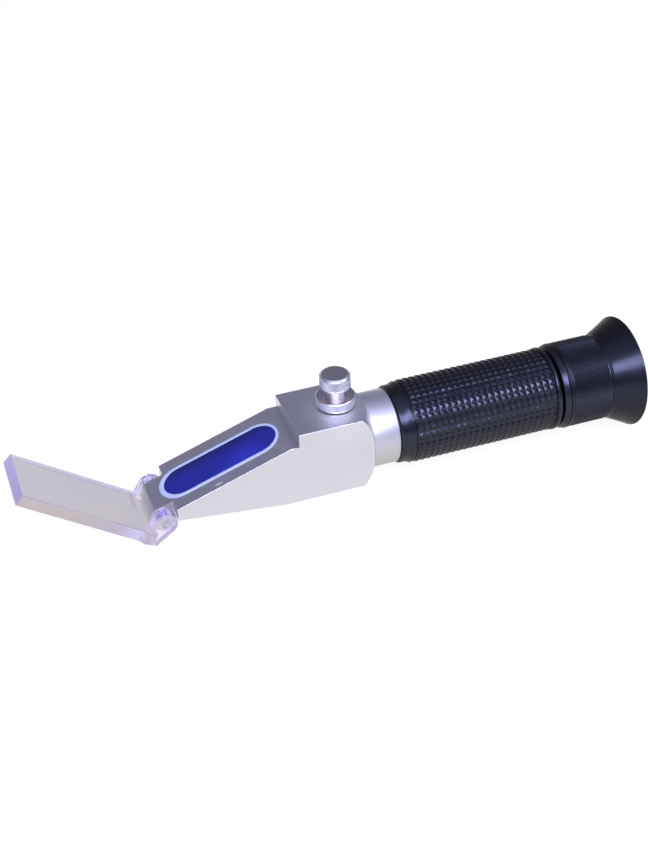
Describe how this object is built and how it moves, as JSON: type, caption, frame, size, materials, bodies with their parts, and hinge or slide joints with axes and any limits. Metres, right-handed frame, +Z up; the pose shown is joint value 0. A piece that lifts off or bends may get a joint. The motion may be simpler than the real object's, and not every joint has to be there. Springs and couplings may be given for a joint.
{
  "type": "optical refractometer",
  "caption": "Hand-held optical refractometer: sloped prism block with hinged clear daylight plate, calibration screw, knurled grip and focusing eyepiece with a flared eyecup.",
  "frame": {"origin": "bottom centre of the bounding box with the daylight plate open as in the picture", "axes": "+X along the optical axis from the prism to the eye, +Z up out of the calibration screw"},
  "size_m": [0.228, 0.0414, 0.0476],
  "materials": {
    "block_aluminium": "satin machined",
    "collar_aluminium": "turned",
    "polished_metal": "polished and knurled",
    "steel": "plain",
    "blackened_aluminium": "matt black anodised",
    "grip_rubber": "square knurl, slight sheen",
    "ring_black": "fine knurl",
    "eyecup_rubber": "smooth, soft sheen",
    "clear_plate": "clear, polished",
    "prism_glass": "polished, dark blue",
    "seal_white": "smooth",
    "lens_glass": "polished"
  },
  "bodies": {
    "housing": {"prism_block": "block_aluminium", "measuring_prism": "prism_glass", "prism_seal": "seal_white", "hinge_pin": "steel", "return_spring": "steel", "spring_plug": "steel", "main_tube": "collar_aluminium", "light_baffle": "blackened_aluminium", "reticle": "lens_glass", "reticle_cell": "blackened_aluminium", "reticle_ring": "blackened_aluminium", "grip_sleeve": "grip_rubber", "focus_bush": "blackened_aluminium", "guide_pin": "steel"},
    "cover": {"daylight_plate": "clear_plate"},
    "objective": {"objective_carriage": "blackened_aluminium", "objective_lens": "lens_glass", "objective_ring": "blackened_aluminium"},
    "screw": {"calibration_screw": "polished_metal"},
    "lock": {"lock_ring": "polished_metal"},
    "eyepiece": {"eyepiece_barrel": "blackened_aluminium", "field_lens": "lens_glass", "lens_spacer": "blackened_aluminium", "eye_lens": "lens_glass", "eye_lens_ring": "blackened_aluminium"},
    "focus": {"focus_ring": "ring_black", "barrel_retainer": "blackened_aluminium", "eyecup": "eyecup_rubber"}
  },
  "joints": [
    {"name": "cover_hinge", "type": "hinge", "parent": "housing", "child": "cover", "pos_m": [-0.0656, 0, 0.00987], "axis": [0, 1, 0], "range_deg": [-30, 126]},
    {"name": "objective_shift", "type": "slide", "parent": "housing", "child": "objective", "axis": [0, 0, 1], "range_m": [-0.0005, 0.0005], "deforming": ["return_spring"]},
    {"name": "calibration_turn", "type": "hinge", "parent": "objective", "child": "screw", "pos_m": [0.00122, 0, 0.0348], "axis": [0, 0, 1], "range_deg": [-360, 360]},
    {"name": "lock_ring_turn", "type": "hinge", "parent": "housing", "child": "lock", "pos_m": [0.00122, 0, 0.0348], "axis": [0, 0, 1], "range_deg": [0, 180]},
    {"name": "eyepiece_travel", "type": "slide", "parent": "housing", "child": "eyepiece", "axis": [1, 0, 0], "range_m": [-0.00052, 0.00402]},
    {"name": "focus_turn", "type": "hinge", "parent": "eyepiece", "child": "focus", "pos_m": [0.08376, 0, 0.0207], "axis": [1, 0, 0], "range_deg": [-30, 240]}
  ],
  "couplings": [
    {"joint": "calibration_turn", "follows": "objective_shift", "rad_per_m": 12566},
    {"joint": "eyepiece_travel", "follows": "focus_turn", "m_per_rad": 0.00095493}
  ]
}
